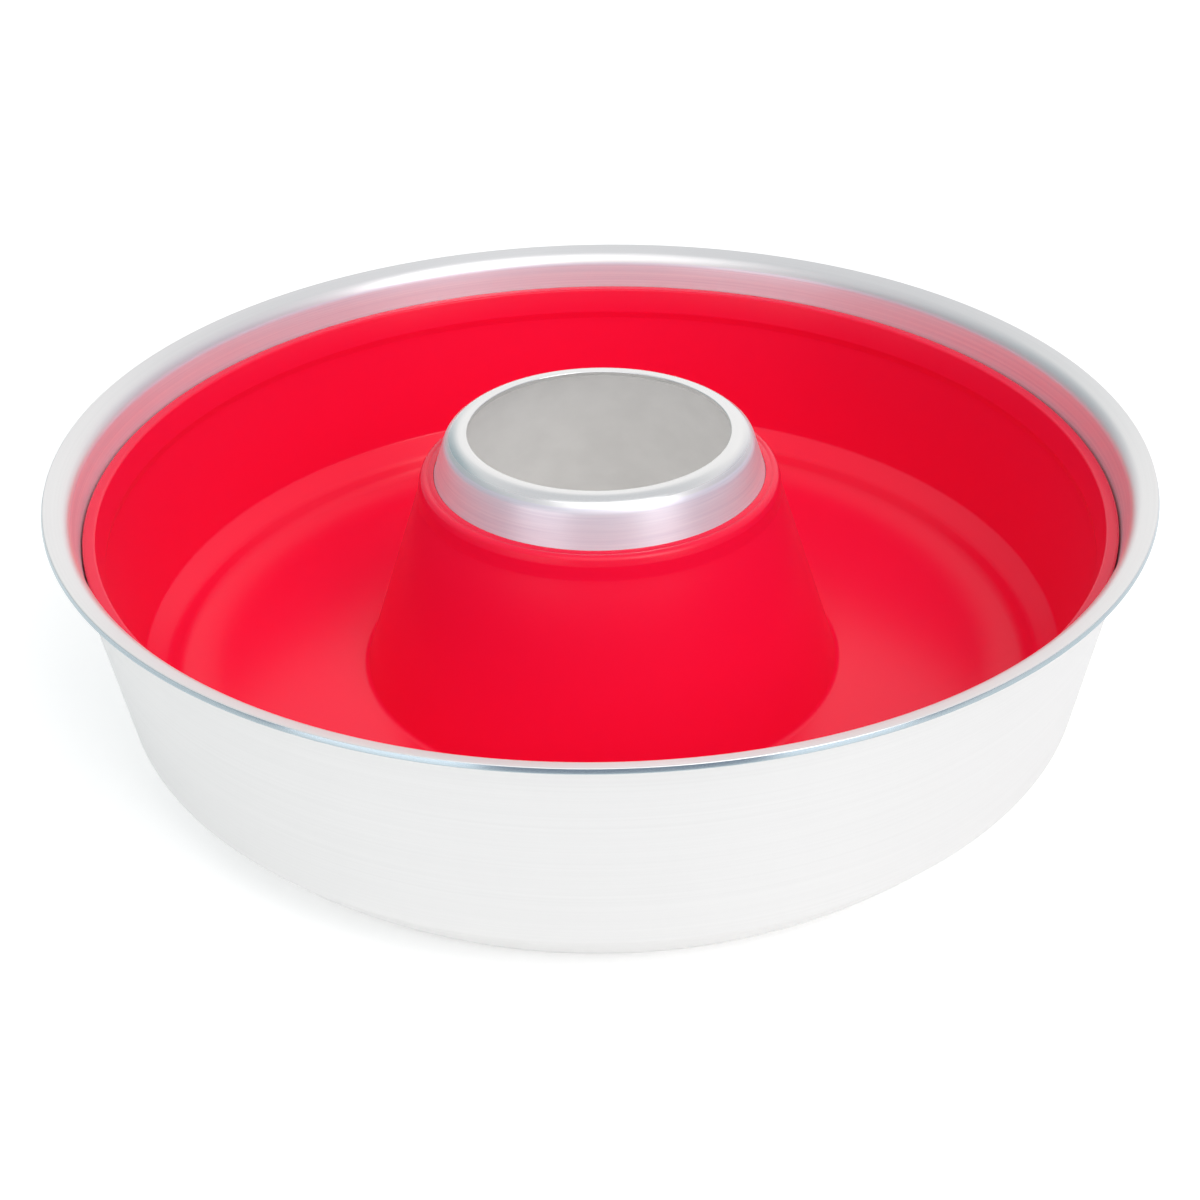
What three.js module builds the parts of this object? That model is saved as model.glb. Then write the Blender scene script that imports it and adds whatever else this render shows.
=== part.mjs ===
// A red silicone ring mould lying in the aluminium ring pan that it lines.
// Both pieces are bodies of revolution about Z. The origin is the centre of the base ring's underside.
// All sizes are in millimetres and degrees.

import * as THREE from 'three';

// Pan: one spun sheet, with its sizes taken on the food side.
const SHEET = 1.2;
const EDGE_ROUND = 0.2;
const RIM_RADIUS = 124.7;
const RIM_HEIGHT = 66;
const FLARE_WIDTH = 5.2;
const FLARE_RISE = 1.95;
const FLARE_BEND = 4;
const WALL_LEAN = 8.5;
const CORNER_HEIGHT = 15.5;
const CORNER_BEND = 2;
const UPPER_SLOPE = 51;
const SLOPE_BREAK_HEIGHT = 7.4;
const SLOPE_BREAK_BEND = 40;
const LOWER_SLOPE = 45;
const BASE_BEND = 3.5;
const BASE_RING_WIDTH = 14;
const DISH_RISE = 3.7;
const DISH_BEND = 40;
const CHIMNEY_HEIGHT = 69.2;
const CHIMNEY_LEAN = 18.3;
const CHIMNEY_LAND = 4.7;
const CHIMNEY_SHOULDER = 4.5;
const CHIMNEY_FOOT_BEND = 3;
const HOLE_RADIUS = 30.4;

// Mould: one moulded skin, with its thicknesses measured square to the pan's surfaces.
// From the crease to the cone's foot its food side has slopes and a floor height of its own.
const LIP_DROP = 10;
const LIP_THICKNESS = 2.5;
const COLLAR_DEPTH = 6.8;
const COLLAR_THICKNESS = 2.7;
const COLLAR_UNDERCUT = 1.4;
const COLLAR_BEND = 1;
const SKIN_WALL = 2.3;
const SKIN_CORNER = 3.4;
const SKIN_FLOOR = 4;
const SKIN_CONE = 2.05;
const MOULD_CREASE_BEND = 1;
const MOULD_UPPER_SLOPE = 38;
const MOULD_UPPER_LENGTH = 6.5;
const MOULD_STEP_SLOPE = 62;
const MOULD_STEP_LENGTH = 3.9;
const MOULD_STEP_BEND = 4.5;
const MOULD_LOWER_SLOPE = 26;
const MOULD_FLOOR_HEIGHT = 8.2;
const MOULD_FLOOR_BEND = 17;
const MOULD_CONE_FILLET = 1.5;
const CONE_LIP_DROP = 10.2;
const CONE_LIP_THICKNESS = 2.6;
const CONE_LIP_DEPTH = 2.2;
const CONE_LIP_ROUND = 1.3;
const CONE_LIP_UNDERCUT = 4;
const LIP_ROUND = 0.6;

// Fits between the two pieces.
const WALL_CLEARANCE = 0.7;
const SEAT_CLEARANCE = 0.3;

// Fineness of the round forms: flats in a full turn, and how far a flat may cut into a bend.
const SEGMENTS = 56;
const BEND_SAG = 0.08;

const ALUMINIUM = { color: 0xd9dadd, roughness: 0.38, metalness: 1 };
const SILICONE = { color: 0xe6002e, roughness: 0.55, metalness: 0 };

// A corner of a section: a point (radius, height) and the bend that rounds it.
const corner = (point, bend = 0) => ({ point, bend });
const at = (radius, height) => new THREE.Vector2(radius, height);
const heading = (degrees) => at(1, 0).rotateAround(at(0, 0), degrees * THREE.MathUtils.DEG2RAD);

// Left-hand normal of a direction.
const leftOf = (direction) => at(-direction.y, direction.x);

// Point where two lines meet, each given by a point and a direction.
function meet(pointA, directionA, pointB, directionB) {
  const along = pointB.clone().sub(pointA).cross(directionB) / directionA.cross(directionB);
  return pointA.clone().addScaledVector(directionA, along);
}

// Point of a line at a given height.
function atHeight(point, direction, height) {
  return point.clone().addScaledVector(direction, (height - point.y) / direction.y);
}

// An open path moved to its left, each stretch by its own distance, with its bends kept concentric.
function offsetPath(path, distances) {
  const stretches = distances.map((distance, i) => {
    const direction = path[i + 1].point.clone().sub(path[i].point).normalize();
    const normal = leftOf(direction);
    return {
      direction,
      distance,
      from: path[i].point.clone().addScaledVector(normal, distance),
      to: path[i + 1].point.clone().addScaledVector(normal, distance),
    };
  });
  return path.map((turn, i) => {
    const before = stretches[i - 1];
    const after = stretches[i];
    if (!before) {
      return corner(after.from, turn.bend);
    }
    if (!after) {
      return corner(before.to, turn.bend);
    }
    const turnsLeft = before.direction.cross(after.direction) > 0;
    const growth = (turnsLeft ? -1 : 1) * (before.distance + after.distance) / 2;
    const point = meet(before.from, before.direction, after.from, after.direction);
    return corner(point, Math.max(turn.bend + growth, 0));
  });
}

// Points of a closed loop of corners, with each bend drawn as an arc.
function roundedLoop(corners) {
  const points = [];
  corners.forEach((turn, i) => {
    const previous = corners.at(i - 1).point;
    const next = corners[(i + 1) % corners.length].point;
    const towards = turn.point.clone().sub(previous).normalize();
    const away = next.clone().sub(turn.point).normalize();
    const turning = Math.atan2(towards.cross(away), towards.dot(away));
    if (turn.bend < BEND_SAG) {
      points.push(turn.point.clone());
      return;
    }
    const tangent = turn.bend * Math.tan(Math.abs(turning) / 2);
    const start = turn.point.clone().addScaledVector(towards, -tangent);
    const centre = start.clone().addScaledVector(leftOf(towards), Math.sign(turning) * turn.bend);
    const stepTurn = 2 * Math.acos(1 - BEND_SAG / turn.bend);
    const steps = Math.ceil(Math.abs(turning) / stepTurn);
    for (let step = 0; step <= steps; step += 1) {
      points.push(start.clone().rotateAround(centre, turning * step / steps));
    }
  });
  return points;
}

// A named solid of revolution about Z from a closed loop of corners.
function turnedPiece(name, corners, finish) {
  const loop = roundedLoop(corners);
  const geometry = new THREE.LatheGeometry([...loop, loop[0]], SEGMENTS);
  geometry.rotateX(Math.PI / 2);
  const mesh = new THREE.Mesh(geometry, new THREE.MeshStandardMaterial(finish));
  mesh.name = name;
  return mesh;
}

// The pan's food side, from the rim's edge down the wall, across the base and up the chimney to its hole.
const flareStart = at(RIM_RADIUS - FLARE_WIDTH, RIM_HEIGHT - FLARE_RISE);
const wallDown = heading(-90 - WALL_LEAN);
const upperSlopeDown = heading(-180 + UPPER_SLOPE);
const lowerSlopeDown = heading(-180 + LOWER_SLOPE);
const chimneyUp = heading(90 + CHIMNEY_LEAN);
const wallFoot = atHeight(flareStart, wallDown, CORNER_HEIGHT);
const slopeBreak = atHeight(wallFoot, upperSlopeDown, SLOPE_BREAK_HEIGHT);
const baseEdge = atHeight(slopeBreak, lowerSlopeDown, SHEET);
const dishEdge = at(baseEdge.x - BASE_RING_WIDTH, SHEET);
const shoulder = at(HOLE_RADIUS + CHIMNEY_LAND, CHIMNEY_HEIGHT);
const chimneyFoot = atHeight(shoulder, chimneyUp, SHEET + DISH_RISE);
const holeEdge = at(HOLE_RADIUS, CHIMNEY_HEIGHT);

const seatTurns = [
  corner(wallFoot, CORNER_BEND),
  corner(slopeBreak, SLOPE_BREAK_BEND),
  corner(baseEdge, BASE_BEND),
  corner(dishEdge, DISH_BEND),
  corner(chimneyFoot, CHIMNEY_FOOT_BEND),
];
const foodSide = [
  corner(at(RIM_RADIUS, RIM_HEIGHT), EDGE_ROUND),
  corner(flareStart, FLARE_BEND),
  ...seatTurns,
  corner(shoulder, CHIMNEY_SHOULDER),
  corner(holeEdge, EDGE_ROUND),
];

function aluminiumRingPan() {
  const backSide = offsetPath(foodSide, foodSide.slice(1).map(() => SHEET));
  return turnedPiece('aluminium_ring_pan', [...foodSide, ...backSide.reverse()], ALUMINIUM);
}

// The mould's skin lies against the food side between the lip on the wall and the lip on the chimney.
function siliconeRingMould() {
  const lipHeight = RIM_HEIGHT - LIP_DROP;
  const coneLipHeight = CHIMNEY_HEIGHT - CONE_LIP_DROP;
  const seat = [
    corner(atHeight(wallFoot, wallDown, lipHeight)),
    ...seatTurns,
    corner(atHeight(chimneyFoot, chimneyUp, coneLipHeight)),
  ];
  const wallFit = { clearance: WALL_CLEARANCE, thickness: SKIN_WALL };
  const slopeFit = { clearance: WALL_CLEARANCE, thickness: SKIN_CORNER };
  const floorFit = { clearance: SEAT_CLEARANCE, thickness: SKIN_FLOOR };
  const coneFit = { clearance: SEAT_CLEARANCE, thickness: SKIN_CONE };
  const fits = [wallFit, slopeFit, slopeFit, floorFit, floorFit, coneFit];
  const under = offsetPath(seat, fits.map((fit) => -fit.clearance));
  const over = offsetPath(seat, fits.map((fit) => -fit.clearance - fit.thickness));
  const crease = over[1].point;
  const coneFoot = over[5].point;
  const stepTop = crease.clone().addScaledVector(heading(-180 + MOULD_UPPER_SLOPE), MOULD_UPPER_LENGTH);
  const stepFoot = stepTop.clone().addScaledVector(heading(-180 + MOULD_STEP_SLOPE), MOULD_STEP_LENGTH);
  const floorEdge = atHeight(stepFoot, heading(-180 + MOULD_LOWER_SLOPE), MOULD_FLOOR_HEIGHT);

  const wallAcross = leftOf(wallDown).negate();
  const lipOuter = atHeight(under[0].point, wallDown, lipHeight);
  const lipFace = lipOuter.clone().addScaledVector(wallAcross, LIP_THICKNESS);
  const lipInner = atHeight(lipFace, wallDown, lipHeight);
  const collarFoot = atHeight(lipOuter, wallDown, lipHeight - COLLAR_DEPTH);
  const collarEdge = collarFoot.clone().addScaledVector(wallAcross, COLLAR_THICKNESS);
  const undercutFoot = collarFoot.clone().addScaledVector(wallAcross, SKIN_WALL);
  undercutFoot.addScaledVector(wallDown, COLLAR_UNDERCUT);

  const chimneyAcross = leftOf(chimneyUp).negate();
  const coneLipInner = atHeight(under.at(-1).point, chimneyUp, coneLipHeight);
  const coneLipFace = coneLipInner.clone().addScaledVector(chimneyAcross, CONE_LIP_THICKNESS);
  const coneLipOuter = atHeight(coneLipFace, chimneyUp, coneLipHeight);
  const coneLipFoot = coneLipOuter.clone().addScaledVector(chimneyUp, -CONE_LIP_DEPTH);
  const coneTop = coneLipInner.clone().addScaledVector(chimneyAcross, SKIN_CONE);
  coneTop.addScaledVector(chimneyUp, -CONE_LIP_DEPTH - CONE_LIP_UNDERCUT);
  return turnedPiece('silicone_ring_mould', [
    corner(lipOuter, LIP_ROUND),
    corner(lipInner, LIP_ROUND),
    corner(collarEdge, COLLAR_BEND),
    corner(undercutFoot, COLLAR_BEND),
    corner(crease, MOULD_CREASE_BEND),
    corner(stepTop, MOULD_STEP_BEND),
    corner(stepFoot, MOULD_STEP_BEND),
    corner(floorEdge, MOULD_FLOOR_BEND),
    corner(coneFoot, MOULD_CONE_FILLET),
    corner(coneTop, CONE_LIP_UNDERCUT),
    corner(coneLipFoot, CONE_LIP_ROUND),
    corner(coneLipOuter, CONE_LIP_ROUND),
    corner(coneLipInner),
    ...under.slice(1, -1).reverse(),
  ], SILICONE);
}

const ringMould = new THREE.Group();
ringMould.add(aluminiumRingPan(), siliconeRingMould());

export default ringMould;
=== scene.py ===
"""Looks of a red silicone ring mould that lies in a spun aluminium ring pan.

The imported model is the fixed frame. Both pieces are turned again here from the same sizes with finer bends,
ride on the frame's bodies and stand for its nodes.
"""

from __future__ import annotations

import logging
import math
from dataclasses import dataclass
from enum import Enum, IntEnum

import bmesh
import bpy
from mathutils import Matrix, Vector


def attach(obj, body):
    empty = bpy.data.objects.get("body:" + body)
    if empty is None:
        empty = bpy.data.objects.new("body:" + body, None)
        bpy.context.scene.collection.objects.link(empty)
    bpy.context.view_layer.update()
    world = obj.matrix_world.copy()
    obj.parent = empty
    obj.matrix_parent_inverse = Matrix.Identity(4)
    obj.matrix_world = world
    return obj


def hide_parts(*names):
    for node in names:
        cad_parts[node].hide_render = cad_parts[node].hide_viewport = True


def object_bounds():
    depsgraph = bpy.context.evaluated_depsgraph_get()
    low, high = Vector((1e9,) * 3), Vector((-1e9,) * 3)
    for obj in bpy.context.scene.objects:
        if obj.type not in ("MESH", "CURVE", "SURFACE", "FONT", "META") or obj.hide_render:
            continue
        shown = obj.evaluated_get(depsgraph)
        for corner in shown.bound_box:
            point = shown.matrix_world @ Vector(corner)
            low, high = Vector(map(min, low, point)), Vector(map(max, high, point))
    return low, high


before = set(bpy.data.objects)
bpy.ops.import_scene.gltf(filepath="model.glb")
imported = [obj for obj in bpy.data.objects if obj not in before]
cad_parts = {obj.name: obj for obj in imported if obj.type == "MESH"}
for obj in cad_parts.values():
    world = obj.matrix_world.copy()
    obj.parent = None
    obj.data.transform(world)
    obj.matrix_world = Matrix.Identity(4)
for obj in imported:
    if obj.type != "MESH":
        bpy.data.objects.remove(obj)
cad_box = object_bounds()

log = logging.getLogger("ring_mould")

MM = 0.001

# Directions in a section, in degrees from the radius.
UP = 90.0
DOWN = -90.0
INWARDS = -180.0

# The sRGB curve: straight up to its knee, then a power.
SRGB_KNEE = 0.04045
SRGB_SLOPE = 12.92
SRGB_OFFSET = 0.055
SRGB_POWER = 2.4

# Numbered sockets of a node that mixes two colours, and the number of its result.
MIX_SHARE = 0
MIX_A = 6
MIX_B = 7
MIX_RESULT = 2

# Shares of a face's normal that point away from the axis: more than the first faces out, more than the second
# faces out squarely, less than the third faces the axis, and less than the fourth faces it squarely.
FACES_OUT = 0.8
FACES_SQUARE_OUT = 0.9
FACES_AXIS = -0.3
FACES_IN = -0.9


class Body(Enum):
    """Bodies of the frame that the pieces ride on."""

    PAN = "pan"
    MOULD = "mould"


class Node(Enum):
    """Nodes of the frame that the pieces stand for."""

    PAN = "aluminium_ring_pan"
    MOULD = "silicone_ring_mould"


class Slot(Enum):
    """Material slots of the record."""

    ALUMINIUM = "spun_aluminium"
    SILICONE = "red_silicone"


class PanFinish(IntEnum):
    """Finishes of the pan, numbered as its materials are."""

    SPUN = 0
    DRAWN = 1
    TURNED = 2
    BURNISHED = 3
    TRIMMED = 4


def linear(colour: str) -> tuple[float, float, float, float]:
    """Turns an sRGB hex colour to linear RGBA.

    Args:
        colour: Six hex digits after a hash sign.

    Returns:
        Linear red, green, blue and an alpha of 1.
    """
    channels = [int(colour[i:i + 2], 16) / 255 for i in (1, 3, 5)]
    curved = [((c + SRGB_OFFSET) / (1.0 + SRGB_OFFSET)) ** SRGB_POWER for c in channels]
    red, green, blue = (c / SRGB_SLOPE if c <= SRGB_KNEE else bent for c, bent in zip(channels, curved))
    return red, green, blue, 1.0


def node(
    tree: bpy.types.NodeTree, kind: str, settings: dict | None = None, **inputs: object
) -> bpy.types.bpy_prop_collection:
    """Adds a node to a tree with its settings and its links.

    Args:
        tree: Tree of a material or a world.
        kind: The node's type name.
        settings: Attributes of the node, and its numbered sockets under whole-number keys.
        **inputs: Socket values or output sockets, by the sockets' names with _ for a space.

    Returns:
        The new node's outputs.
    """
    made = tree.nodes.new(kind)
    values = {}
    for name, value in (settings or {}).items():
        if isinstance(name, int):
            values[made.inputs[name]] = value
        else:
            setattr(made, name, value)
    for name, value in inputs.items():
        values[made.inputs[name.replace("_", " ")]] = value
    for socket, value in values.items():
        if isinstance(value, bpy.types.NodeSocket):
            tree.links.new(value, socket)
        else:
            socket.default_value = value
    return made.outputs


def blank_material(name: str) -> tuple[bpy.types.Material, bpy.types.NodeTree]:
    """Makes an empty node material.

    Args:
        name: Name of the material.

    Returns:
        The material and its node tree.
    """
    material = bpy.data.materials.new(name)
    material.use_nodes = True
    material.node_tree.nodes.clear()
    return material, material.node_tree


@dataclass(frozen=True)
class Ramp:
    """A range of values that is spread from 0 at its start to 1 at its end."""

    start: float
    end: float

    def limits(self) -> dict[str, float]:
        """Gives the range by the names of a node's sockets."""
        return {"From_Min": self.start, "From_Max": self.end}


@dataclass(frozen=True)
class Turn:
    """A corner of a section: its point (radius, height) in millimetres, and the bend that rounds it."""

    point: Vector
    bend: float = 0.0


def heading(degrees: float) -> Vector:
    """Gives the direction at an angle to the radius."""
    return Vector((math.cos(math.radians(degrees)), math.sin(math.radians(degrees))))


def left_of(direction: Vector) -> Vector:
    """Gives the left-hand normal of a direction."""
    return Vector((-direction.y, direction.x))


def cross(a: Vector, b: Vector) -> float:
    """Gives the signed area between two directions."""
    return a.x * b.y - a.y * b.x


def at_height(point: Vector, direction: Vector, height: float) -> Vector:
    """Finds the point of a line at a given height.

    Args:
        point: A point of the line.
        direction: The line's direction.
        height: Height wanted, in millimetres.

    Returns:
        The point of the line.
    """
    return point + direction * ((height - point.y) / direction.y)


def meet(a: Vector, along_a: Vector, b: Vector, along_b: Vector) -> Vector:
    """Finds where two lines meet.

    Args:
        a: A point of the first line.
        along_a: The first line's direction.
        b: A point of the second line.
        along_b: The second line's direction.

    Returns:
        The point that both lines hold.
    """
    return a + along_a * (cross(b - a, along_b) / cross(along_a, along_b))


def offset_path(path: list[Turn], distances: list[float]) -> list[Turn]:
    """Moves an open path to its left, each stretch by its own distance, with its bends kept concentric.

    Args:
        path: Corners of the path.
        distances: One distance for each stretch, in millimetres.

    Returns:
        Corners of the moved path.
    """
    ways = [(b.point - a.point).normalized() for a, b in zip(path, path[1:])]
    starts = [turn.point + left_of(way) * far for turn, way, far in zip(path, ways, distances)]
    moved = [Turn(starts[0], path[0].bend)]
    for i in range(1, len(ways)):
        inside = -1 if cross(ways[i - 1], ways[i]) > 0 else 1
        bend = path[i].bend + inside * (distances[i - 1] + distances[i]) / 2
        moved.append(Turn(meet(starts[i - 1], ways[i - 1], starts[i], ways[i]), max(bend, 0.0)))
    moved.append(Turn(path[-1].point + left_of(ways[-1]) * distances[-1], path[-1].bend))
    return moved


@dataclass(frozen=True)
class Lathe:
    """Turns a closed section about the upright axis into a piece.

    Attributes:
        steps: Flats in a full turn.
        degrees_per_flat: How far a bend turns in one flat.
        fewest_flats: Fewest flats in a bend.
        roundness: Profile of a bend, where a half is a circle's.
        longest_flat: Longest straight stretch left undivided, in millimetres.
    """

    steps: int = 240
    degrees_per_flat: float = 7.0
    fewest_flats: int = 2
    roundness: float = 0.5
    longest_flat: float = 3.0

    def section(self, bm: bmesh.types.BMesh, turns: list[Turn]) -> None:
        """Draws a closed section with rounded corners as edges in the XZ plane.

        Args:
            bm: Empty mesh to draw in.
            turns: Corners of the section, in order.
        """
        verts = [bm.verts.new((t.point.x * MM, 0.0, t.point.y * MM)) for t in turns]
        for a, b in zip(verts, verts[1:] + verts[:1]):
            bm.edges.new((a, b))
        for i, turn in enumerate(turns):
            if turn.bend <= 0.0:
                continue
            towards = (turn.point - turns[i - 1].point).normalized()
            away = (turns[(i + 1) % len(turns)].point - turn.point).normalized()
            turning = abs(math.atan2(cross(towards, away), towards.dot(away)))
            bmesh.ops.bevel(
                bm,
                geom=[verts[i]],
                offset=turn.bend * math.tan(turning / 2) * MM,
                offset_type="ABSOLUTE",
                segments=max(self.fewest_flats, math.ceil(math.degrees(turning) / self.degrees_per_flat)),
                profile=self.roundness,
                affect="VERTICES",
                clamp_overlap=False,
                material=-1,
            )
        for edge in list(bm.edges):
            cuts = int(edge.calc_length() / (self.longest_flat * MM))
            if cuts:
                bmesh.ops.subdivide_edges(bm, edges=[edge], cuts=cuts)

    def turned(self, name: str, turns: list[Turn]) -> bpy.types.Object:
        """Makes a piece by spinning a section about the upright axis.

        Args:
            name: Name of the piece.
            turns: Corners of its closed section, in order.

        Returns:
            The piece, linked to the scene.
        """
        bm = bmesh.new()
        self.section(bm, turns)
        bmesh.ops.spin(
            bm,
            geom=bm.verts[:] + bm.edges[:],
            cent=(0.0, 0.0, 0.0),
            axis=(0.0, 0.0, 1.0),
            dvec=(0.0, 0.0, 0.0),
            angle=math.tau,
            steps=self.steps,
            use_merge=True,
            use_duplicate=False,
        )
        bmesh.ops.recalc_face_normals(bm, faces=bm.faces[:])
        for face in bm.faces:
            face.smooth = True
        mesh = bpy.data.meshes.new(name)
        bm.to_mesh(mesh)
        bm.free()
        piece = bpy.data.objects.new(name, mesh)
        bpy.context.scene.collection.objects.link(piece)
        return piece


@dataclass(frozen=True)
class SpunAluminium:
    """Aluminium sheet, spun and then rubbed with fine abrasive while it turned.

    The eye gets a bright satin metal with fine rings round the axis, whose shine spreads across the rings
    more than along them, and wide rubbed patches that shine a little less. The abrasive's own scratches are
    finer than a tenth of a millimetre, so the rings are drawn coarser than that, wide enough to show.
    """

    name: str = "spun_aluminium"
    colour: str = "#f0efee"
    dull_colour: str = "#edeceb"
    metal_share: float = 0.84
    roughness: float = 0.36
    spread: float = 0.55
    spread_turn: float = 0.25
    ring_spacing_mm: float = 0.5
    ring_run: float = 1.3
    ring_detail: float = 2.0
    ring_texture: float = 0.6
    ring_contrast: Ramp = Ramp(0.3, 0.7)
    ring_roughness: float = 0.03
    ring_depth_mm: float = 0.001
    ring_strength: float = 0.35
    rub_size_mm: float = 45.0
    rub_detail: float = 3.0
    rub_contrast: Ramp = Ramp(0.4, 0.7)
    rub_roughness: float = 0.04

    def rings(self, tree: bpy.types.NodeTree, place: bpy.types.NodeSocket) -> bpy.types.NodeSocket:
        """Draws fine rings round the axis, each of which fades in and out along its run.

        Args:
            tree: Tree to add to.
            place: Place on the piece, in metres.

        Returns:
            The rings' socket, from 0 to 1.
        """
        per_ring = 1.0 / (self.ring_spacing_mm * MM)
        split = node(tree, "ShaderNodeSeparateXYZ", Vector=place)
        flat = node(tree, "ShaderNodeCombineXYZ", X=split["X"], Y=split["Y"])[0]
        radius = node(tree, "ShaderNodeVectorMath", {"operation": "LENGTH", 0: flat})["Value"]
        outwards = node(tree, "ShaderNodeVectorMath", {"operation": "NORMALIZE", 0: flat})[0]
        run = node(tree, "ShaderNodeVectorMath", {"operation": "SCALE", 0: outwards}, Scale=self.ring_run)[0]
        across = node(tree, "ShaderNodeMath", {"operation": "MULTIPLY", 0: radius, 1: per_ring})[0]
        along = node(tree, "ShaderNodeMath", {"operation": "MULTIPLY", 0: split["Z"], 1: per_ring})[0]
        lift = node(tree, "ShaderNodeCombineXYZ", Z=across)[0]
        where = node(tree, "ShaderNodeVectorMath", {"operation": "ADD", 0: run, 1: lift})[0]
        lines = node(
            tree,
            "ShaderNodeTexNoise",
            {"noise_dimensions": "4D"},
            Vector=where,
            W=along,
            Scale=1.0,
            Detail=self.ring_detail,
            Roughness=self.ring_texture,
        )[0]
        return node(tree, "ShaderNodeMapRange", Value=lines, **self.ring_contrast.limits())[0]

    def material(self) -> bpy.types.Material:
        """Builds the finish as nodes.

        Returns:
            The material.
        """
        material, tree = blank_material(self.name)
        place = node(tree, "ShaderNodeTexCoord")["Object"]
        rings = self.rings(tree, place)
        bright, dull = linear(self.colour), linear(self.dull_colour)
        tones = {"data_type": "RGBA", MIX_SHARE: rings, MIX_A: bright, MIX_B: dull}
        rub = node(
            tree,
            "ShaderNodeTexNoise",
            Vector=place,
            Scale=1.0 / (self.rub_size_mm * MM),
            Detail=self.rub_detail,
        )[0]
        dulled = node(
            tree,
            "ShaderNodeMapRange",
            Value=rub,
            To_Min=self.roughness,
            To_Max=self.roughness + self.rub_roughness,
            **self.rub_contrast.limits(),
        )[0]
        grooves = {"operation": "MULTIPLY_ADD", 0: rings, 1: self.ring_roughness, 2: dulled}
        ridges = node(
            tree,
            "ShaderNodeBump",
            Strength=self.ring_strength,
            Distance=self.ring_depth_mm * MM,
            Height=rings,
        )[0]
        shader = node(
            tree,
            "ShaderNodeBsdfPrincipled",
            Base_Color=node(tree, "ShaderNodeMix", tones)[MIX_RESULT],
            Metallic=self.metal_share,
            Roughness=node(tree, "ShaderNodeMath", grooves)[0],
            Anisotropic=self.spread,
            Anisotropic_Rotation=self.spread_turn,
            Tangent=node(tree, "ShaderNodeTangent", {"direction_type": "RADIAL", "axis": "Z"})[0],
            Normal=ridges,
        )[0]
        node(tree, "ShaderNodeOutputMaterial", Surface=shader)
        return material


# The sheet where a turning tool left it: inside the wall and outside the chimney. The eye gets a slightly
# bluish, duller metal with plainer rings.
TURNED_ALUMINIUM = SpunAluminium(
    "turned_aluminium",
    colour="#f0eff4",
    dull_colour="#e2e1ea",
    metal_share=0.54,
    roughness=0.34,
    spread=0.3,
    ring_roughness=0.06,
    ring_depth_mm=0.003,
)

# The sheet where a hard roller pressed it smooth: the rim's rounded corners and the chimney's top. The eye
# gets a crisp, bright line with hardly a ring in it.
BURNISHED_ALUMINIUM = SpunAluminium(
    "burnished_aluminium",
    roughness=0.18,
    spread=0.2,
    ring_roughness=0.02,
    rub_roughness=0.02,
)

# The sheet's bare cut at the rim's edge, as the trimming knife left it, with a painted dark reflection: its
# darker bluish colour paints in the dark surroundings that the edge mirrors. The eye gets a thin bluish line,
# darker than the skin on both sides of it, that still flashes where a lamp meets it.
PAINTED_DARK_EDGE_ALUMINIUM = SpunAluminium(
    "painted_dark_edge_aluminium",
    colour="#bdcad0",
    dull_colour="#b4c1c7",
    metal_share=0.96,
    roughness=0.18,
    spread=0.2,
    ring_roughness=0.02,
    rub_roughness=0.02,
)


@dataclass(frozen=True)
class DrawnAluminium:
    """Aluminium sheet as it was drawn, with the grey skin that ovens and washing leave on it.

    The eye gets a matt, slightly warm grey with soft blotches, as inside the chimney.
    """

    colour: str = "#fbf9f7"
    dull_colour: str = "#f6f4f2"
    metal_share: float = 0.6
    roughness: float = 0.5
    blotch_size_mm: float = 9.0
    blotch_detail: float = 4.0
    blotch_contrast: Ramp = Ramp(0.35, 0.65)
    grain_mm: float = 0.6
    grain_detail: float = 2.0
    grain_depth_mm: float = 0.03
    grain_strength: float = 0.4

    def material(self) -> bpy.types.Material:
        """Builds the finish as nodes.

        Returns:
            The material.
        """
        material, tree = blank_material("drawn_aluminium")
        place = node(tree, "ShaderNodeTexCoord")["Object"]
        cloud, grain = (
            node(tree, "ShaderNodeTexNoise", Vector=place, Scale=1.0 / (size * MM), Detail=detail)[0]
            for size, detail in (
                (self.blotch_size_mm, self.blotch_detail),
                (self.grain_mm, self.grain_detail),
            )
        )
        blotch = node(tree, "ShaderNodeMapRange", Value=cloud, **self.blotch_contrast.limits())[0]
        bright, dull = linear(self.colour), linear(self.dull_colour)
        tones = {"data_type": "RGBA", MIX_SHARE: blotch, MIX_A: bright, MIX_B: dull}
        bumps = node(
            tree,
            "ShaderNodeBump",
            Strength=self.grain_strength,
            Distance=self.grain_depth_mm * MM,
            Height=grain,
        )[0]
        shader = node(
            tree,
            "ShaderNodeBsdfPrincipled",
            Base_Color=node(tree, "ShaderNodeMix", tones)[MIX_RESULT],
            Metallic=self.metal_share,
            Roughness=self.roughness,
            Normal=bumps,
        )[0]
        node(tree, "ShaderNodeOutputMaterial", Surface=shader)
        return material


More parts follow.
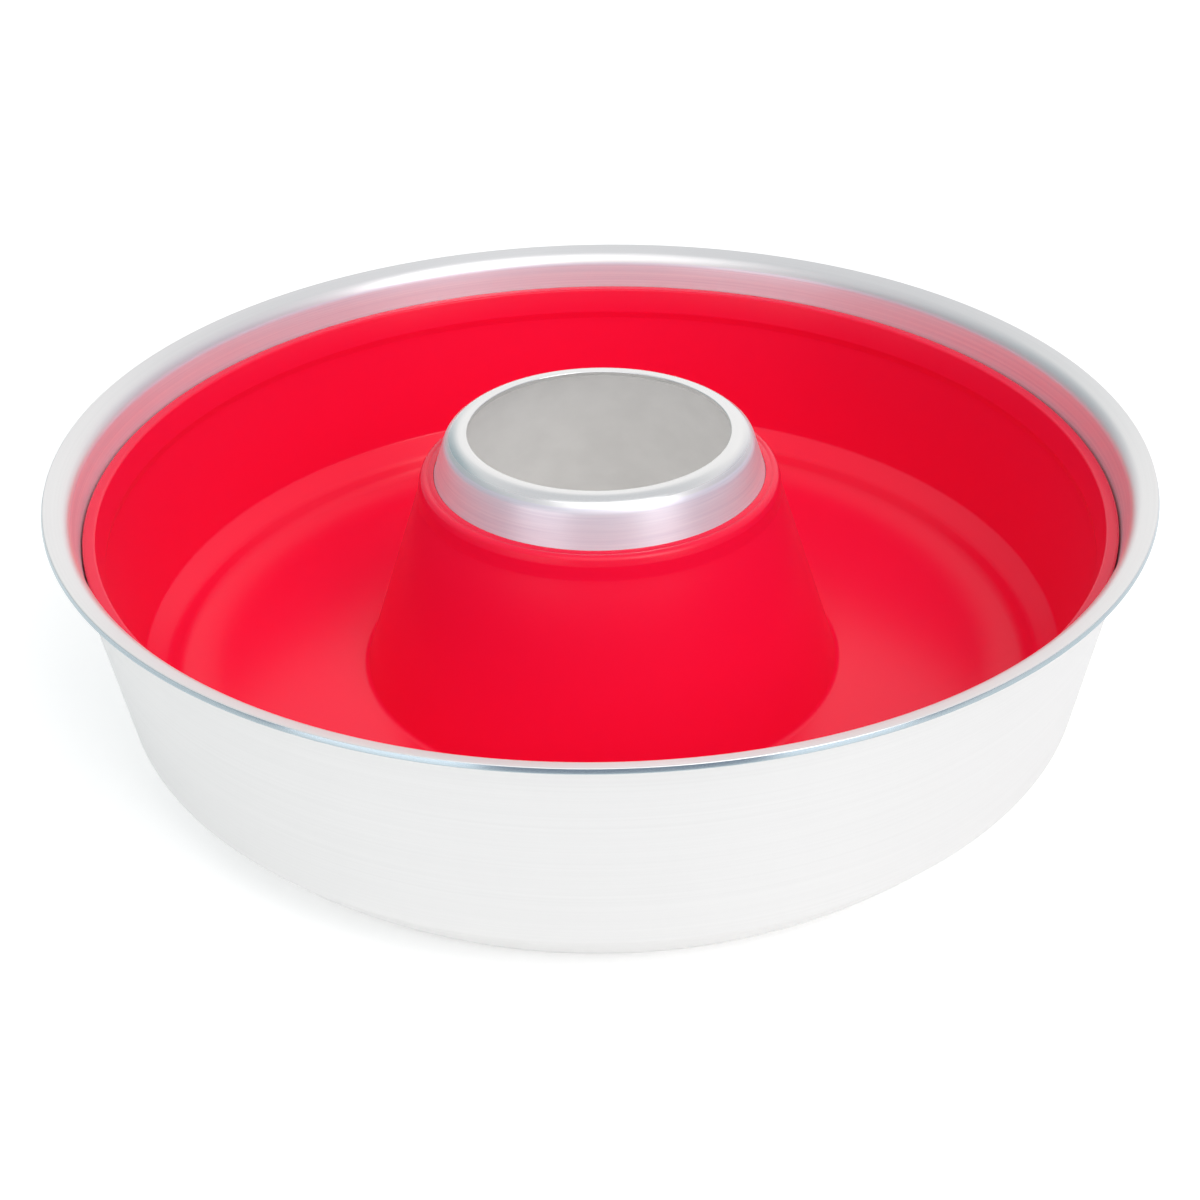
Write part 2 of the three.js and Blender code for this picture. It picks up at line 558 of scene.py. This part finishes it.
@dataclass(frozen=True)
class MouldedSilicone:
    """Red silicone rubber, moulded in a blasted steel tool.

    The eye gets a deep even red with a soft skin: a wide dull shine, a faint bloom that pales it at a slant,
    and a little light that passes through thin edges.
    """

    colour: str = "#f8103e"
    roughness: float = 0.27
    refraction: float = 1.41
    shine: float = 0.46
    depth: float = 0.12
    depth_reach: tuple[float, float, float] = (1.0, 0.12, 0.12)
    depth_reach_mm: float = 1.5
    bloom: float = 0.02
    bloom_roughness: float = 0.5
    bloom_colour: str = "#ffd9de"
    grain_mm: float = 0.45
    grain_detail: float = 2.0
    grain_depth_mm: float = 0.02
    grain_strength: float = 0.25

    def material(self) -> bpy.types.Material:
        """Builds the finish as nodes.

        Returns:
            The material.
        """
        material, tree = blank_material("moulded_silicone")
        grain = node(
            tree,
            "ShaderNodeTexNoise",
            Vector=node(tree, "ShaderNodeTexCoord")["Object"],
            Scale=1.0 / (self.grain_mm * MM),
            Detail=self.grain_detail,
        )[0]
        bumps = node(
            tree,
            "ShaderNodeBump",
            Strength=self.grain_strength,
            Distance=self.grain_depth_mm * MM,
            Height=grain,
        )[0]
        shader = node(
            tree,
            "ShaderNodeBsdfPrincipled",
            Base_Color=linear(self.colour),
            Roughness=self.roughness,
            IOR=self.refraction,
            Specular_IOR_Level=self.shine,
            Normal=bumps,
            Subsurface_Weight=self.depth,
            Subsurface_Radius=self.depth_reach,
            Subsurface_Scale=self.depth_reach_mm * MM,
            Sheen_Weight=self.bloom,
            Sheen_Roughness=self.bloom_roughness,
            Sheen_Tint=linear(self.bloom_colour),
        )[0]
        node(tree, "ShaderNodeOutputMaterial", Surface=shader)
        return material


@dataclass(frozen=True)
class RingPan:
    """The pan: one spun sheet, with its sizes on the food side, in millimetres and degrees."""

    sheet: float = 1.2
    edge_round: float = 0.2
    rim_radius: float = 124.7
    rim_height: float = 66.0
    flare_width: float = 5.2
    flare_rise: float = 1.95
    flare_bend: float = 4.0
    wall_lean: float = 8.5
    corner_height: float = 15.5
    corner_bend: float = 2.0
    upper_slope: float = 51.0
    slope_break_height: float = 7.4
    slope_break_bend: float = 40.0
    lower_slope: float = 45.0
    base_bend: float = 3.5
    base_ring_width: float = 14.0
    dish_rise: float = 3.7
    dish_bend: float = 40.0
    chimney_height: float = 69.2
    chimney_lean: float = 18.3
    chimney_land: float = 4.7
    chimney_shoulder: float = 4.5
    chimney_foot_bend: float = 3.0
    hole_radius: float = 30.4

    @property
    def flare(self) -> Vector:
        """Point where the wall turns out into the flare."""
        return Vector((self.rim_radius - self.flare_width, self.rim_height - self.flare_rise))

    @property
    def shoulder(self) -> Vector:
        """Point where the chimney's side meets its top."""
        return Vector((self.hole_radius + self.chimney_land, self.chimney_height))

    @property
    def wall_down(self) -> Vector:
        """Direction down the wall."""
        return heading(DOWN - self.wall_lean)

    @property
    def chimney_up(self) -> Vector:
        """Direction up the chimney."""
        return heading(UP + self.chimney_lean)

    def seat(self) -> list[Turn]:
        """Finds the corners that the mould lies against.

        Returns:
            The corners, from the wall's foot to the chimney's.
        """
        wall_foot = at_height(self.flare, self.wall_down, self.corner_height)
        slope_break = at_height(wall_foot, heading(INWARDS + self.upper_slope), self.slope_break_height)
        base_edge = at_height(slope_break, heading(INWARDS + self.lower_slope), self.sheet)
        dish_edge = Vector((base_edge.x - self.base_ring_width, self.sheet))
        chimney_foot = at_height(self.shoulder, self.chimney_up, self.sheet + self.dish_rise)
        return [
            Turn(wall_foot, self.corner_bend),
            Turn(slope_break, self.slope_break_bend),
            Turn(base_edge, self.base_bend),
            Turn(dish_edge, self.dish_bend),
            Turn(chimney_foot, self.chimney_foot_bend),
        ]

    def food_side(self) -> list[Turn]:
        """Finds the corners of the whole food side.

        Returns:
            The corners, from the rim's edge to the chimney's hole.
        """
        return [
            Turn(Vector((self.rim_radius, self.rim_height)), self.edge_round),
            Turn(self.flare, self.flare_bend),
            *self.seat(),
            Turn(self.shoulder, self.chimney_shoulder),
            Turn(Vector((self.hole_radius, self.chimney_height)), self.edge_round),
        ]

    def build(self, lathe: Lathe) -> bpy.types.Object:
        """Turns the pan.

        Args:
            lathe: The lathe to turn it on.

        Returns:
            The pan, riding on its body and standing for its node.
        """
        food = self.food_side()
        back = offset_path(food, [self.sheet] * (len(food) - 1))
        pan = lathe.turned("spun_ring_pan", food + back[::-1])
        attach(pan, Body.PAN.value)
        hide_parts(Node.PAN.value)
        return pan

    def finish_of(self, face: bpy.types.MeshPolygon) -> PanFinish:
        """Chooses a face's finish by its place and the way it faces.

        Args:
            face: A face of the pan.

        Returns:
            The finish.
        """
        outwards = Vector((face.center.x, face.center.y, 0.0))
        facing = face.normal.dot(outwards.normalized())
        widening = self.chimney_height * math.tan(math.radians(self.chimney_lean))
        on_chimney = outwards.length < (self.hole_radius + widening) * MM
        on_rim_edge = outwards.length > self.rim_radius * MM and facing > FACES_OUT
        # Faces that look squarely out at the rim's edge get the cut finish, whose darker bluish colour is a
        # painted dark reflection.
        if on_rim_edge and facing > FACES_SQUARE_OUT:
            return PanFinish.TRIMMED
        if on_rim_edge or face.center.z > (self.chimney_height - self.sheet) * MM:
            return PanFinish.BURNISHED
        if on_chimney and facing < FACES_AXIS:
            return PanFinish.DRAWN
        if on_chimney and facing > FACES_OUT or not on_chimney and facing < FACES_IN:
            return PanFinish.TURNED
        return PanFinish.SPUN

    def dress(self, pan: bpy.types.Object) -> None:
        """Gives the pan its spun finish, cut rim with a painted dark reflection, burnished edges, coarser
        food side and drawn hole.

        Args:
            pan: The pan.
        """
        finishes = {
            PanFinish.SPUN: SpunAluminium(),
            PanFinish.DRAWN: DrawnAluminium(),
            PanFinish.TURNED: TURNED_ALUMINIUM,
            PanFinish.BURNISHED: BURNISHED_ALUMINIUM,
            PanFinish.TRIMMED: PAINTED_DARK_EDGE_ALUMINIUM,
        }
        for finish in PanFinish:
            pan.data.materials.append(finishes[finish].material())
        for face in pan.data.polygons:
            face.material_index = self.finish_of(face)


@dataclass(frozen=True)
class RingMould:
    """The mould: one moulded skin, with its thicknesses square to the pan, in millimetres and degrees."""

    pan: RingPan
    lip_drop: float = 10.0
    lip_thickness: float = 2.85
    lip_round: float = 0.6
    collar_depth: float = 6.8
    collar_thickness: float = 3.3
    collar_undercut: float = 1.8
    collar_bend: float = 1.0
    skin_wall: float = 2.65
    skin_corner: float = 3.75
    skin_floor: float = 4.0
    skin_cone: float = 2.3
    upper_slope: float = 38.0
    upper_length: float = 6.5
    step_slope: float = 62.0
    step_length: float = 3.9
    step_bend: float = 4.5
    lower_slope: float = 26.0
    floor_height: float = 8.2
    floor_bend: float = 17.0
    crease_bend: float = 1.0
    cone_fillet: float = 1.5
    cone_lip_drop: float = 10.2
    cone_lip_thickness: float = 2.85
    cone_lip_depth: float = 2.2
    cone_lip_undercut: float = 4.0
    cone_lip_round: float = 1.3
    cone_edge_round: float = 0.15
    cone_groove_place: float = 1.5
    cone_groove_width: float = 0.4
    cone_groove_depth: float = 0.2
    wall_clearance: float = 0.35
    floor_clearance: float = 0.3
    cone_clearance: float = 0.05

    def skins(self) -> tuple[list[Turn], list[Turn]]:
        """Finds the skin's two sides along the pan's seat.

        Returns:
            The corners under the skin and over it, each from the lip over the floor to the cone's lip.
        """
        pan = self.pan
        turns = pan.seat()
        seat = [
            Turn(at_height(turns[0].point, pan.wall_down, pan.rim_height - self.lip_drop)),
            *turns,
            Turn(at_height(turns[-1].point, pan.chimney_up, pan.chimney_height - self.cone_lip_drop)),
        ]
        layers = [
            (self.wall_clearance, self.skin_wall),
            (self.wall_clearance, self.skin_corner),
            (self.wall_clearance, self.skin_corner),
            (self.floor_clearance, self.skin_floor),
            (self.floor_clearance, self.skin_floor),
            (self.cone_clearance, self.skin_cone),
        ]
        under = offset_path(seat, [-gap for gap, _ in layers])
        over = offset_path(seat, [-gap - thick for gap, thick in layers])
        return under, over

    def section(self) -> list[Turn]:
        """Finds the corners of the closed section.

        Returns:
            The corners, from the lip's outer edge over the food side to the cone's lip and back underneath.
        """
        pan = self.pan
        under, over = self.skins()
        lip = pan.rim_height - self.lip_drop
        cone_lip = pan.chimney_height - self.cone_lip_drop
        crease = over[1].point
        cone_foot = over[-2].point
        step_top = crease + heading(INWARDS + self.upper_slope) * self.upper_length
        step_foot = step_top + heading(INWARDS + self.step_slope) * self.step_length
        floor_edge = at_height(step_foot, heading(INWARDS + self.lower_slope), self.floor_height)
        inwards = -left_of(pan.wall_down)
        lip_outer = at_height(under[0].point, pan.wall_down, lip)
        lip_inner = at_height(lip_outer + inwards * self.lip_thickness, pan.wall_down, lip)
        collar_foot = at_height(lip_outer, pan.wall_down, lip - self.collar_depth)
        undercut_foot = collar_foot + inwards * self.skin_wall + pan.wall_down * self.collar_undercut
        out = -left_of(pan.chimney_up)
        cone_inner = at_height(under[-1].point, pan.chimney_up, cone_lip)
        cone_outer = at_height(cone_inner + out * self.cone_lip_thickness, pan.chimney_up, cone_lip)
        bead_foot = cone_outer - pan.chimney_up * self.cone_lip_depth
        bead_root = cone_inner + out * self.skin_cone
        bead_root -= pan.chimney_up * (self.cone_lip_depth + self.cone_lip_undercut)
        groove = cone_inner + Vector((self.cone_groove_place, 0.0))
        across = Vector((self.cone_groove_width / 2, 0.0))
        return [
            Turn(lip_outer, self.lip_round),
            Turn(lip_inner, self.lip_round),
            Turn(collar_foot + inwards * self.collar_thickness, self.collar_bend),
            Turn(undercut_foot, self.collar_bend),
            Turn(crease, self.crease_bend),
            Turn(step_top, self.step_bend),
            Turn(step_foot, self.step_bend),
            Turn(floor_edge, self.floor_bend),
            Turn(cone_foot, self.cone_fillet),
            Turn(bead_root, self.cone_lip_undercut),
            Turn(bead_foot, self.cone_lip_round),
            Turn(cone_outer, self.cone_lip_round),
            Turn(groove + across),
            Turn(groove - Vector((0.0, self.cone_groove_depth))),
            Turn(groove - across),
            Turn(cone_inner, self.cone_edge_round),
            *under[-2:0:-1],
        ]

    def build(self, lathe: Lathe) -> bpy.types.Object:
        """Turns the mould.

        Args:
            lathe: The lathe to turn it on.

        Returns:
            The mould, riding on its body and standing for its node.
        """
        mould = lathe.turned("moulded_ring_mould", self.section())
        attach(mould, Body.MOULD.value)
        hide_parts(Node.MOULD.value)
        return mould

    def dress(self, mould: bpy.types.Object) -> None:
        """Gives the mould its silicone finish."""
        mould.data.materials.append(MouldedSilicone().material())


@dataclass(frozen=True)
class Softbox:
    """A lamp behind a cloth, in metres and watts."""

    name: str
    place: tuple[float, float, float]
    width: float
    height: float
    power: float

    def hang(self, aim: Vector) -> None:
        """Hangs the lamp so that it faces a point.

        Args:
            aim: The point, in metres.
        """
        lamp = bpy.data.lights.new(self.name, "AREA")
        lamp.shape = "RECTANGLE"
        lamp.size = self.width
        lamp.size_y = self.height
        lamp.energy = self.power
        holder = bpy.data.objects.new(self.name, lamp)
        holder.location = self.place
        holder.rotation_euler = (aim - Vector(self.place)).to_track_quat("-Z", "Y").to_euler()
        bpy.context.scene.collection.objects.link(holder)


@dataclass(frozen=True)
class Studio:
    """A white floor and backdrop, a grey ceiling, a dim front and sides, and soft lamps in front and above.

    Attributes:
        floor_size: Side of the floor, in metres.
        floor_colour: Colour of the floor's paper.
        mirrored_lift: Glow of the floor where a shiny surface shows it.
        seen_lift: Glow of the floor where it is seen, near the object.
        seen_fade: Distances over which that glow grows to plain white, in metres.
        backdrop: Colour of the room where it is seen, and of its walls.
        ceiling: Colour of the ceiling.
        dim_front: Colour of the low front.
        dim_left: Colour of the low left side.
        dim_right: Colour of the low right side.
        dim_shift: How far the middle between the dim sides lies to the right, as a share of a direction.
        ceiling_ramp: Upward share of the directions in which the ceiling begins and is full.
        front_ramp: Share along +Y of those in which the front begins and is full.
        front_low_ramp: Upward share of those in which the front begins and is full.
        side_ramp: Sideward share of those in which the sides begin and are full.
        side_low_ramp: Upward share of those in which the sides begin and are full.
        right_ramp: Rightward share of those in which the sides turn from the left colour to the right.
        lamps: The lamps.
    """

    floor_size: float = 24.0
    floor_colour: str = "#e7e6e4"
    mirrored_lift: float = 0.26
    seen_lift: float = 0.4
    seen_fade: Ramp = Ramp(0.6, 2.5)
    backdrop: str = "#ffffff"
    ceiling: str = "#cdd0d4"
    dim_front: str = "#8b95a6"
    dim_left: str = "#94a9b0"
    dim_right: str = "#b6b6c4"
    dim_shift: float = 0.12
    ceiling_ramp: Ramp = Ramp(0.5, 0.9)
    front_ramp: Ramp = Ramp(0.0, -0.6)
    front_low_ramp: Ramp = Ramp(0.5, 0.15)
    side_ramp: Ramp = Ramp(0.2, 0.75)
    side_low_ramp: Ramp = Ramp(0.85, 0.45)
    right_ramp: Ramp = Ramp(-0.5, 0.5)
    lamps: tuple[Softbox, ...] = (
        Softbox("front_right_softbox", (1.5, -1.75, 2.1), 1.5, 1.9, 26.0),
        Softbox("top_softbox", (0.15, -1.1, 2.3), 2.4, 1.8, 14.0),
        Softbox("low_right_softbox", (1.55, -1.7, 0.42), 1.1, 0.8, 3.0),
        Softbox("low_left_softbox", (-1.45, -1.8, 0.42), 1.5, 0.8, 4.8),
    )

    def seen(self, tree: bpy.types.NodeTree) -> bpy.types.NodeSocket:
        """Picks out the rays that look straight at a surface, from the camera or through something clear.

        Args:
            tree: Tree to add to.

        Returns:
            A socket that is 1 for those rays and 0 for all others.
        """
        path = node(tree, "ShaderNodeLightPath")
        sight = {"operation": "ADD", 0: path["Is Camera Ray"], 1: path["Is Transmission Ray"]}
        return node(tree, "ShaderNodeMath", sight)[0]

    def paper(self) -> bpy.types.Material:
        """Builds the floor's paper: matt and off-white, lifted so that it is seen as a plain white ground.

        Returns:
            The material.
        """
        material, tree = blank_material("white_paper")
        place = node(tree, "ShaderNodeTexCoord")["Object"]
        far = node(tree, "ShaderNodeVectorMath", {"operation": "LENGTH", 0: place})["Value"]
        fade = {"To_Min": self.seen_lift, **self.seen_fade.limits()}
        shiny = node(tree, "ShaderNodeLightPath")["Is Glossy Ray"]
        mirrored = node(tree, "ShaderNodeMath", {"operation": "MULTIPLY", 0: shiny, 1: self.mirrored_lift})[0]
        faded = node(tree, "ShaderNodeMapRange", Value=far, **fade)[0]
        lift = {"operation": "MULTIPLY_ADD", 0: self.seen(tree), 1: faded, 2: mirrored}
        matt = node(tree, "ShaderNodeBsdfDiffuse", Color=linear(self.floor_colour))[0]
        glow = node(tree, "ShaderNodeEmission", Strength=node(tree, "ShaderNodeMath", lift)[0])[0]
        both = node(tree, "ShaderNodeAddShader", {0: matt, 1: glow})[0]
        node(tree, "ShaderNodeOutputMaterial", Surface=both)
        return material

    def floor(self) -> None:
        """Lays the floor, which takes the object's shadow."""
        bm = bmesh.new()
        bmesh.ops.create_grid(bm, x_segments=1, y_segments=1, size=self.floor_size / 2)
        mesh = bpy.data.meshes.new("studio_floor")
        bm.to_mesh(mesh)
        bm.free()
        mesh.materials.append(self.paper())
        ground = bpy.data.objects.new("studio_floor", mesh)
        bpy.context.scene.collection.objects.link(ground)

    def room(self) -> None:
        """Makes the room, shaded by direction, which is itself seen as plain white."""
        world = bpy.data.worlds.new("white_room")
        world.use_nodes = True
        tree = world.node_tree
        tree.nodes.clear()
        way = node(tree, "ShaderNodeSeparateXYZ", Vector=node(tree, "ShaderNodeTexCoord")["Generated"])
        shifted = node(tree, "ShaderNodeMath", {"operation": "SUBTRACT", 0: way["X"], 1: self.dim_shift})[0]
        aside = node(tree, "ShaderNodeMath", {"operation": "ABSOLUTE", 0: shifted})[0]
        raised, forward, front_low, sideward, side_low, rightward = (
            node(
                tree,
                "ShaderNodeMapRange",
                {"interpolation_type": "SMOOTHSTEP"},
                Value=share,
                **ramp.limits(),
            )[0]
            for share, ramp in (
                (way["Z"], self.ceiling_ramp),
                (way["Y"], self.front_ramp),
                (way["Z"], self.front_low_ramp),
                (aside, self.side_ramp),
                (way["Z"], self.side_low_ramp),
                (way["X"], self.right_ramp),
            )
        )
        front = node(tree, "ShaderNodeMath", {"operation": "MULTIPLY", 0: forward, 1: front_low})[0]
        side = node(tree, "ShaderNodeMath", {"operation": "MULTIPLY", 0: sideward, 1: side_low})[0]
        left, right = linear(self.dim_left), linear(self.dim_right)
        shades = {"data_type": "RGBA", MIX_SHARE: rightward, MIX_A: left, MIX_B: right}
        shade = node(tree, "ShaderNodeMix", shades)[MIX_RESULT]
        colour = linear(self.backdrop)
        for share, over in (
            (raised, linear(self.ceiling)),
            (side, shade),
            (front, linear(self.dim_front)),
            (self.seen(tree), linear(self.backdrop)),
        ):
            layer = {"data_type": "RGBA", MIX_SHARE: share, MIX_A: colour, MIX_B: over}
            colour = node(tree, "ShaderNodeMix", layer)[MIX_RESULT]
        node(tree, "ShaderNodeOutputWorld", Surface=node(tree, "ShaderNodeBackground", Color=colour)[0])
        bpy.context.scene.world = world

    def build(self, aim: Vector) -> None:
        """Builds the floor, the room and the lamps.

        Args:
            aim: Point that the lamps face, in metres.
        """
        self.floor()
        self.room()
        for lamp in self.lamps:
            lamp.hang(aim)


@dataclass(frozen=True)
class PhotoCamera:
    """The camera at the photographed angle, in millimetres and degrees."""

    distance: float = 440.0
    elevation: float = 31.936
    aim_height: float = 22.43
    sideways: float = -0.35
    roll: float = -0.865
    lens: float = 54.2
    sensor: float = 36.0
    nearest: float = 10.0

    def build(self) -> None:
        """Sets the camera up and makes it the scene's own."""
        data = bpy.data.cameras.new("photo_camera")
        data.lens = self.lens
        data.sensor_width = self.sensor
        data.sensor_fit = "HORIZONTAL"
        data.clip_start = self.nearest * MM
        camera = bpy.data.objects.new("photo_camera", data)
        tilt = math.radians(self.elevation)
        aim = Vector((self.sideways, 0.0, self.aim_height)) * MM
        back = Vector((0.0, -math.cos(tilt), math.sin(tilt)))
        turned = (-back).to_track_quat("-Z", "Y").to_matrix().to_4x4()
        rolled = turned @ Matrix.Rotation(math.radians(self.roll), 4, "Z")
        camera.matrix_world = Matrix.Translation(aim + back * self.distance * MM) @ rolled
        bpy.context.scene.collection.objects.link(camera)
        bpy.context.scene.camera = camera


def main() -> None:
    """Builds the pieces in order, then the studio and the camera."""
    logging.basicConfig(level=logging.INFO, format="%(name)s: %(message)s")
    lathe = Lathe()
    pan_sizes = RingPan()
    for sizes in (pan_sizes, RingMould(pan_sizes)):
        piece = sizes.build(lathe)
        sizes.dress(piece)
        log.info("%s: %d faces", piece.name, len(piece.data.polygons))
    lowest, highest = cad_box
    Studio().build((lowest + highest) / 2)
    PhotoCamera().build()
    bpy.context.scene.view_settings.view_transform = "Standard"


if __name__ == "__main__":
    main()
